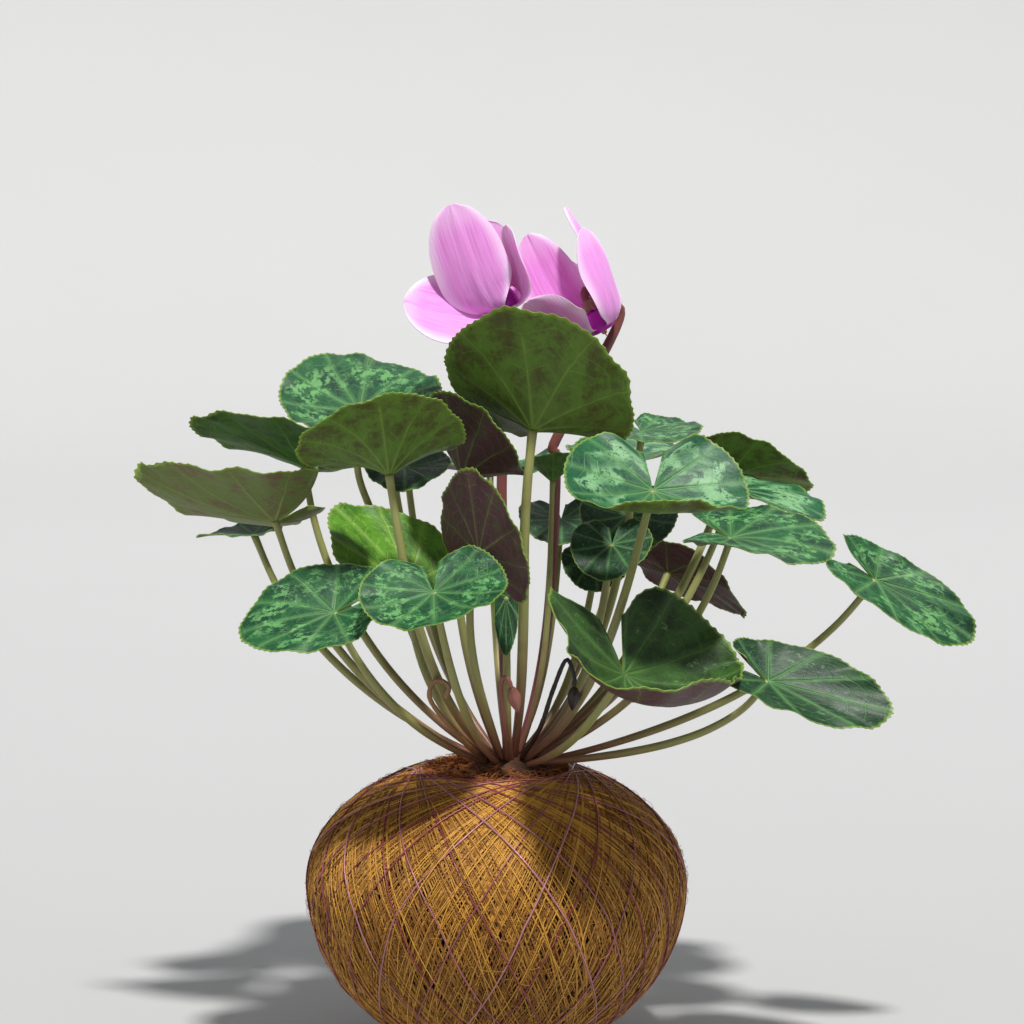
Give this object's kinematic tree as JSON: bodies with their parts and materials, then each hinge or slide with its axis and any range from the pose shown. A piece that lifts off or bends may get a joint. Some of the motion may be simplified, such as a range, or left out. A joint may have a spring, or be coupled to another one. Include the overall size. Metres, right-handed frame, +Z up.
{
  "type": "potted cyclamen",
  "caption": "Flowering cyclamen with marbled heart-shaped leaves on long stalks, growing out of a thread-wound moss ball that serves as its pot.",
  "frame": {"origin": "centre of the small flat spot under the ball, on the surface it rests on", "axes": "+Z up through the crown of the plant, -Y the front that the picture shows, +X to the right of someone who looks at the front"},
  "size_m": [0.3254, 0.2393, 0.3329],
  "materials": {
    "golden_thread": "golden brown wound thread, slightly shiny and fuzzy",
    "purple_thread": "shiny purple and silver thread",
    "coir": "rough, dry orange-brown fibre and dark humus",
    "tuber_skin": "dark corky skin",
    "leaf_green": "semi-gloss leaf, silver-green marbling above, maroon or olive below",
    "petal_pink": "soft thin petal, deeper magenta at its base",
    "flower_stalk": "smooth, fleshy, dark maroon",
    "dry_stalk": "dry and wrinkled",
    "dark_stalk": "withered, nearly black",
    "young_bud": "smooth, pale pink"
  },
  "bodies": {
    "root": {"thread_winding": "golden_thread", "purple_threads": "purple_thread", "growing_medium": "coir", "tuber": "tuber_skin", "leaf_far_left": "leaf_green", "leaf_under_far_left": "leaf_green", "leaf_upper_left": "leaf_green", "leaf_marbled_upper_left": "leaf_green", "leaf_olive_upper_left": "leaf_green", "leaf_purple_middle": "leaf_green", "leaf_tallest": "leaf_green", "leaf_flat_upper_right": "leaf_green", "leaf_marbled_front_upper": "leaf_green", "leaf_olive_upper_right": "leaf_green", "leaf_right": "leaf_green", "leaf_silver_right": "leaf_green", "leaf_far_right": "leaf_green", "leaf_cupped_right": "leaf_green", "leaf_folded_front_right": "leaf_green", "leaf_marbled_front_left": "leaf_green", "leaf_bright_left": "leaf_green", "leaf_low_left": "leaf_green", "leaf_upright_purple": "leaf_green", "leaf_small_hanging": "leaf_green", "leaf_shaded_right": "leaf_green", "leaf_shaded_low_right": "leaf_green", "leaf_shaded_middle": "leaf_green", "leaf_shaded_low_middle": "leaf_green", "leaf_purple_right": "leaf_green", "leaf_shaded_left": "leaf_green", "leaf_back_left": "leaf_green", "leaf_back_right": "leaf_green", "leaf_back_middle": "leaf_green", "leaf_young": "leaf_green", "flower_left_petals": "petal_pink", "flower_left_stalk": "flower_stalk", "flower_right_petals": "petal_pink", "flower_right_stalk": "flower_stalk", "withered_stalk_left": "dry_stalk", "withered_stalk_right": "dark_stalk", "young_bud": "young_bud"}
  },
  "joints": []
}
